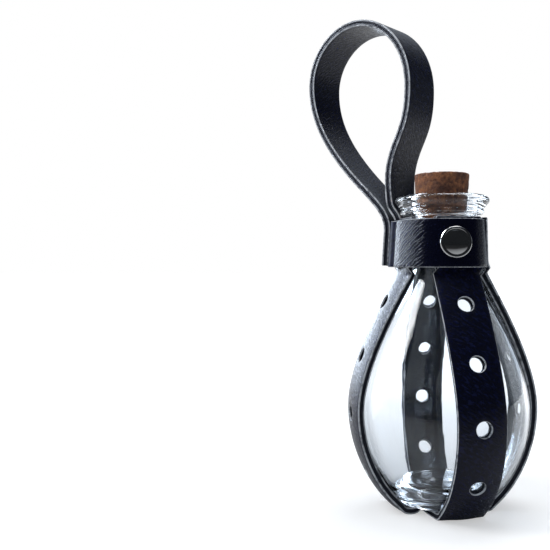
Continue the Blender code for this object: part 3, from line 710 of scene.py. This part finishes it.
def suede_finish():
    """Flesh side: dull blue-grey nap."""
    suede = Finish("leather_flesh_side", Roughness=0.85, Specular_IOR_Level=0.3)
    nap = suede.noise(suede.coordinates(), 700, detail=5.0, roughness=0.7)
    suede.feed("Base Color", suede.ramp(nap, (0.3, (0.009, 0.013, 0.024)), (0.7, (0.03, 0.038, 0.06))))
    suede.feed("Normal", suede.bump(nap, 0.12 * MM, 0.7))
    return suede.material


strap_leather = leather_finish("navy_strap_leather", 0.065 * MM, dull=0.46)
# The fourth finish paints a highlight on the edge corners and the hole rims.
strap_faces = [strap_leather, edge_finish(), suede_finish(), corner_highlight_finish()]


def strap_route(azimuths, crosses_over):
    """From one end under the collar to the other, by the azimuths of its arms at collar and foot."""
    arm = shifted(flask_outline(40) + [(foot_radius - 2 * MM, foot)], SNUG + STRAP / 2)
    arm[0] = (arm[0][0], strap_end)
    heel, bottom = arm[-1]
    step_up = STRAP + SNUG if crosses_over else 0.0
    inwards = np.linspace(heel, 0, 30)[1:]
    half = arm + [(x, bottom + step_up * ease((clear_of_strap - x) / strap_ramp)) for x in inwards]
    line = half + [(-x, z) for x, z in half[::-1][1:]]
    collar_end, foot_end, far_foot, far_collar = azimuths

    def turn_at(point):
        rise = (point[1] - foot) / (collar_top - foot)
        if abs(point[0]) < heel:
            return mix(far_foot, foot_end, (point[0] + heel) / (2 * heel))
        return mix(foot_end, collar_end, rise) if point[0] > 0 else mix(far_foot, far_collar, rise)

    def curl_at(point, normal):
        return normal[0] / point[0] if abs(point[0]) > heel else 0.0

    return Route(line, turn_at, curl_at)


def two_plies(name, route, nodes, holes=()):
    """Both plies of a strip, each with its grain side away from the glue line."""
    made = []
    for ply, side, ending, slot in plies:
        def place(across, along, out):
            return route(across, along, side * out)

        mesh = ply_mesh(f"{name}_{ply}", place, route.length, glue_line / 2, STRAP / 2, holes)
        piece = add_piece(mesh.name, mesh, strap_faces)
        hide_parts(*(f"{node}_{ending}" for node in nodes))
        made.append(piece)
    return made


def make_strap(way, azimuths, crosses_over):
    route = strap_route(azimuths, crosses_over)
    holes = [first_hole + hole_pitch * i for i in range(holes_per_arm)]
    holes += [route.length - run for run in holes]
    for ply in two_plies("strap_" + way, route, ["cross_strap_" + way], holes):
        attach(ply, "harness")


make_strap("front_back", (9, 13, 2, 2), crosses_over=False)
make_strap("left_right", (96, 96, 96, 96), crosses_over=True)

# The hanging loop. One long strip of the same two plies, bent into a tall teardrop. One end is tucked
# under the collar, and the other lies over it, held by two rivets.

loop_azimuth = -132.4
tucked_middle, outer_middle = 17.5 * MM, 22.2 * MM
collar_flare = 1.2 * MM
loop_end = collar_bottom + 0.7 * MM
leaves_collar = collar_top - 3 * MM
loop_near, loop_far = (10.6 * MM, 173 * MM), (61.4 * MM, 180 * MM)
loop_top = (38 * MM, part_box("hanger_loop_outer")[1][2] - STRAP / 2)
loop_past_lip = (lip_radius + 0.7 * MM + STRAP / 2, lip_top - 2.1 * MM)
loop_out_handle, loop_lip_handle = 1.2 * MM, 3.8 * MM
loop_rise_handles, loop_fall_handles = (0.6, 0.5), (0.48, 0.224)
loop_round = 0.55
loop_flattens = 25 * MM


def flared(radius, height):
    """Radius at a height of a layer of the collar whose radius at the upper edge is given."""
    return radius + collar_flare * (collar_top - height) / strip_width


def above(point, distance):
    return (point[0], point[1] + distance)


def beside(point, distance):
    return (point[0] + distance, point[1])


def loop_line():
    """From the tucked end up past the lip, round the top and down to the riveted end."""
    tucked, outer = (tucked_middle, collar_top), (flared(outer_middle, leaves_collar), leaves_collar)
    rise_out, rise_in = (share * (loop_near[1] - loop_past_lip[1]) for share in loop_rise_handles)
    fall_out, fall_in = (share * (loop_far[1] - outer[1]) for share in loop_fall_handles)
    near_width, near_height = (loop_round * (loop_top[k] - loop_near[k]) for k in (0, 1))
    far_width, far_height = (loop_round * abs(loop_far[k] - loop_top[k]) for k in (0, 1))
    line = [(flared(tucked_middle, loop_end), loop_end), tucked]
    under_lip_bend = above(loop_past_lip, -loop_lip_handle)
    line += bezier(tucked, above(tucked, loop_out_handle), under_lip_bend, loop_past_lip, 12)
    up_from_lip, up_to_near = above(loop_past_lip, rise_out), above(loop_near, -rise_in)
    line += bezier(loop_past_lip, up_from_lip, up_to_near, loop_near, 32)
    line += bezier(loop_near, above(loop_near, near_height), beside(loop_top, -near_width), loop_top, 32)
    line += bezier(loop_top, beside(loop_top, far_width), above(loop_far, far_height), loop_far, 32)
    line += bezier(loop_far, above(loop_far, -fall_out), above(outer, fall_in), outer, 48)
    return line + [(flared(outer_middle, loop_end), loop_end)]


def loop_curl(point, normal):
    """How much the strip curls round the neck: fully at its ends, and less with height."""
    fade = 1 - ease((point[1] - collar_top) / loop_flattens)
    return math.copysign(fade / point[0], normal[0])


loop_route = Route(loop_line(), lambda point: loop_azimuth, loop_curl)
for ply in two_plies("loop_strap", loop_route, ("hanger_loop", "loop_tucked_end", "loop_riveted_end")):
    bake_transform(ply)

# The neck collar. One 19 mm strip of the same leather, a single ply, wound round the neck over the strap
# ends. Its free end comes round from the right, laps over its start and snaps shut at the front.

collar_ply = 1.3 * MM
band_inner, bump_inner, flap_lift = 16.1 * MM, 19.2 * MM, 18.8 * MM
snap_space = 1.4 * MM
seam, band_end, flap_end = 66, 22, -84
climb_length, settle_start, settle_length, step_length = 40, -27, 35, 9
collar_middle = 17.4 * MM
band_leather = leather_finish("smooth_band_leather", 0.04 * MM, gloss=0.06)
flap_leather = leather_finish("creased_flap_leather", 0.22 * MM, 0.85, dull=0.34, combed=8.5 * MM)


def band_radius(azimuth):
    """Inner radius of the band, which steps out over the loop's tucked end."""
    away = abs((azimuth - loop_azimuth + 180) % 360 - 180)
    edge = math.degrees(half_width / tucked_middle) + 1
    return mix(bump_inner, band_inner, ease((away - edge) / step_length))


def flap_radius(azimuth):
    """Inner radius of the free end: out over the gap and the snap, then down onto the band."""
    climb = mix(band_inner, flap_lift, ease((seam - azimuth) / climb_length))
    return climb - (snap_space - SNUG) * ease((settle_start - azimuth) / settle_length)


def collar_piece(name, node, first, last, radius_at, grain_side):
    """A stretch of the collar between two azimuths, with its lower edge flared out."""
    def on_collar(across, along, out):
        azimuth = first + math.degrees(along / collar_middle)
        spread = collar_flare * (half_width - across) / strip_width
        middle = outward(azimuth) * (radius_at(azimuth) + spread + out)
        return middle + Vector((0, 0, collar_bottom + half_width + across))

    mesh = ply_mesh(name, on_collar, math.radians(last - first) * collar_middle, 0, collar_ply)
    piece = add_piece(name, mesh, [grain_side, *strap_faces[1:]])
    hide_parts(node)
    return piece


band = collar_piece("neck_collar_band", "neck_band", seam, band_end + 360, band_radius, band_leather)
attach(band, "harness")
flap = collar_piece("neck_collar_flap", "neck_band_flap", flap_end, seam, flap_radius, flap_leather)
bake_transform(flap)

# The snap and the rivets. Nickel-plated brass, pressed and polished: a domed cap and its socket in the
# flap, a stud and its eyelet in the band, and two domed rivets through the loop's end.

snap_azimuth, snap_height = 2.5, collar_bottom + half_width
snap_radius, snap_rise = 6.2 * MM, 1.9 * MM
rivet_radius, rivet_rise = 3.5 * MM, 1.2 * MM
rivet_heights = {"lower": collar_bottom + 4.4 * MM, "upper": collar_bottom + 12 * MM}
band_outer = band_inner + collar_ply
over_flap = flap_lift + collar_ply + SNUG
over_loop = outer_middle + STRAP / 2 + SNUG


def metal_finish():
    """Polished nickel with fine turning marks and a few soft dents."""
    nickel = Finish("polished_nickel", Metallic=1.0)
    haze = nickel.noise(nickel.coordinates(), 160, detail=3.0)
    marks = nickel.noise(nickel.coordinates((1, 1, 0.17)), 500)
    dents = nickel.noise(nickel.coordinates(), 190, detail=1.0)
    nickel.feed("Base Color", nickel.blend(haze, (0.6, 0.59, 0.6, 1), (0.74, 0.73, 0.71, 1)))
    nickel.feed("Roughness", 0.05 + 0.1 * haze * marks)
    nickel.feed("Normal", nickel.bump(dents, 0.4 * MM, 0.3))
    return nickel.material


def collar_place(azimuth, height):
    """Frame of a piece set square to the flared collar, its Z counted from the bottle's axis."""
    tilt = math.atan(collar_flare / strip_width)
    axis = outward(azimuth) * math.cos(tilt) + Vector((0, 0, math.sin(tilt)))
    side = sideways(azimuth)
    place = Matrix((side, axis.cross(side), axis)).transposed().to_4x4()
    reach = flared(band_outer, height)
    place.translation = Vector((0, 0, height)) + outward(azimuth) * reach - axis * band_outer
    return place


def pressed_cap(name, node, body, place, low, radius, rise):
    """A thin round cap: a rolled rim, a fine groove inside it and a shallow dome."""
    roll = 0.11 * radius
    shoulder = low + 0.52 * rise
    groove, dome = shoulder - 0.25 * roll, radius - 2.1 * roll
    profile = [(0, low), (0.5 * radius, low), (0.8 * radius, low)]
    profile += [(radius - 0.3 * roll, low), (radius, low + 0.3 * roll)]
    profile += arc((radius - roll, shoulder - roll), roll, 0, 130, 9)
    for i in range(12):
        slope = math.cos(math.pi / 2 * i / 12)
        profile.append((dome * slope, mix(groove, low + rise, 1 - slope**2)))
    mesh = turned_mesh(name, profile + [(0, low + rise)], 72)
    for vertex in mesh.vertices:
        seat = 1 - ease((vertex.co.z - low) / (shoulder - roll - low))
        vertex.co.z -= seat * (low - math.sqrt(low**2 - vertex.co.x**2))
    mesh.transform(place)
    cap = add_piece(name, mesh, [polished_nickel])
    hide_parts(node)
    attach(cap, body)


polished_nickel = metal_finish()
for name in ("snap_socket", "snap_stud", "snap_eyelet", "loop_rivet_post_lower", "loop_rivet_post_upper"):
    hidden_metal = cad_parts[name].data
    hidden_metal.materials.clear()
    hidden_metal.materials.append(polished_nickel)

snap_place = collar_place(snap_azimuth, snap_height)
pressed_cap("snap_button", "snap_cap", "collar_flap", snap_place, over_flap, snap_radius, snap_rise)
for label, height in rivet_heights.items():
    head, node = "rivet_head_" + label, "loop_rivet_cap_" + label
    rivet_place = collar_place(loop_azimuth, height)
    pressed_cap(head, node, "harness", rivet_place, over_loop, rivet_radius, rivet_rise)

# The studio. A white sweep, a room of soft panels that only gloss and glass see, and two lamps, with the
# camera at the height of the collar.

view = bpy.data.cameras.new("photo_view")
view.lens = 49.7
view.sensor_width = 36
view.clip_start = 0.01
camera_tilt = 0.755
camera = placed("photo_view", view)
camera.location = Vector((-68.3, -311.6, 99.2)) * MM
camera.rotation_euler = (math.radians(90 - camera_tilt), 0, 0)
bpy.context.scene.camera = camera
bpy.context.scene.view_settings.view_transform = "Standard"


def ray_kinds(finish):
    """1 on the rays from the camera, off a gloss and through glass."""
    path = finish.tree.nodes.new("ShaderNodeLightPath")
    return [Wire(finish, path.outputs[f"Is {kind} Ray"]) for kind in ("Camera", "Glossy", "Transmission")]


def sweep_finish():
    """White paper that glows to the eye, is grey under the lamps and dark in a gloss."""
    paper = Finish("white_sweep", Roughness=0.8, Specular_IOR_Level=0.0, Emission_Color=(1, 1, 1, 1))
    by_eye, by_gloss, through_glass = ray_kinds(paper)
    place = paper.coordinates()
    depth = paper.axis(place, "Y")
    far = paper.node("ShaderNodeVectorMath", {"operation": "LENGTH"}, {0: place}, "Value").clamp()
    behind, before = (depth / 0.3).clamp(), ((-0.04 - depth) / 0.3).clamp()
    paper.feed("Base Color", paper.blend(by_gloss * before, (0.61, 0.61, 0.61, 1), (0.03, 0.03, 0.03, 1)))
    glow = by_eye * (0.46 + 0.6 * far) + through_glass * 0.25 * far + 0.7 * by_gloss * behind
    paper.feed("Emission Strength", glow)
    return paper.material


floor_mesh = bpy.data.meshes.new("floor")
floor_side = 8.0
corners = [(x * floor_side, y * floor_side, 0) for x, y in ((-1, -1), (1, -1), (1, 1), (-1, 1))]
floor_mesh.from_pydata(corners, [], [(0, 1, 2, 3)])
floor_mesh.materials.append(sweep_finish())
placed("floor", floor_mesh)


class Studio(Finish):
    """The room's light, made of the same kind of nodes."""

    def __init__(self):
        self.world = bpy.data.worlds.new("studio")
        self.world.use_nodes = True
        self.tree = self.world.node_tree
        self.shader = self.tree.nodes["Background"]

    def panel(self, towards, width, soft):
        """1 inside a round panel in a direction, fading to 0 at its soft edge."""
        way = self.node("ShaderNodeTexCoord", {}, {}, "Generated")
        middle = Vector(towards).normalized()
        dot = {"operation": "DOT_PRODUCT"}
        facing = self.node("ShaderNodeVectorMath", dot, {0: way, 1: middle}, "Value")
        inner, outer = math.cos(math.radians(width)), math.cos(math.radians(width + soft))
        return ((facing - outer) / (inner - outer)).clamp()


# Each panel is a direction, a half width and a soft edge in degrees, and a brightness
panels = {
    "wall behind": ((-0.1, 0.95, 0.1), 40, 25, 0.5),
    "bright part of it at the left": ((-0.45, 0.89, 0.05), 20, 16, 7.5),
    "window high at the left": ((-0.9, 0.3, 0.85), 11, 6, 40.0),
    "pane low at the left": ((-0.93, 0.33, 0.1), 7, 7, 6.0),
    "ceiling": ((0, 0.15, 1), 22, 24, 0.6),
    "faint pane at the right": ((0.98, 0.17, 0.2), 6, 8, 0.4),
}
studio = Studio()
by_eye, by_gloss, through_glass = ray_kinds(studio)
room_light, in_gloss = 0.5, 0.018
for towards, width, soft, brightness in panels.values():
    in_gloss = studio.panel(towards, width, soft) * brightness + in_gloss
in_glass = 0.25 + studio.panel((-0.2, 1, 0), 38, 40) * 0.57
otherwise = (1 - by_gloss) * (1 - through_glass) * room_light
unseen = otherwise + by_gloss * in_gloss + through_glass * in_glass
studio.feed("Strength", by_eye + (1 - by_eye) * unseen)
studio.feed("Color", studio.blend(by_eye, (0.78, 0.88, 1.0, 1), (1, 1, 1, 1)))
bpy.context.scene.world = studio.world

lamps = {
    "top": ((0.15, 0.25, 1.0), (0.6, 0.6), 4.5),
    "window": ((-0.74, -0.13, 0.85), (0.2, 0.8), 6.0),
}
lit_spot = Vector((0, 0, 0.1))
for name, (place, size, power) in lamps.items():
    light = bpy.data.lights.new(name, "AREA")
    light.shape = "RECTANGLE"
    light.size, light.size_y = size
    light.energy = power
    lamp = placed(name, light)
    lamp.location = place
    lamp.rotation_euler = (lit_spot - Vector(place)).to_track_quat("-Z", "Y").to_euler()
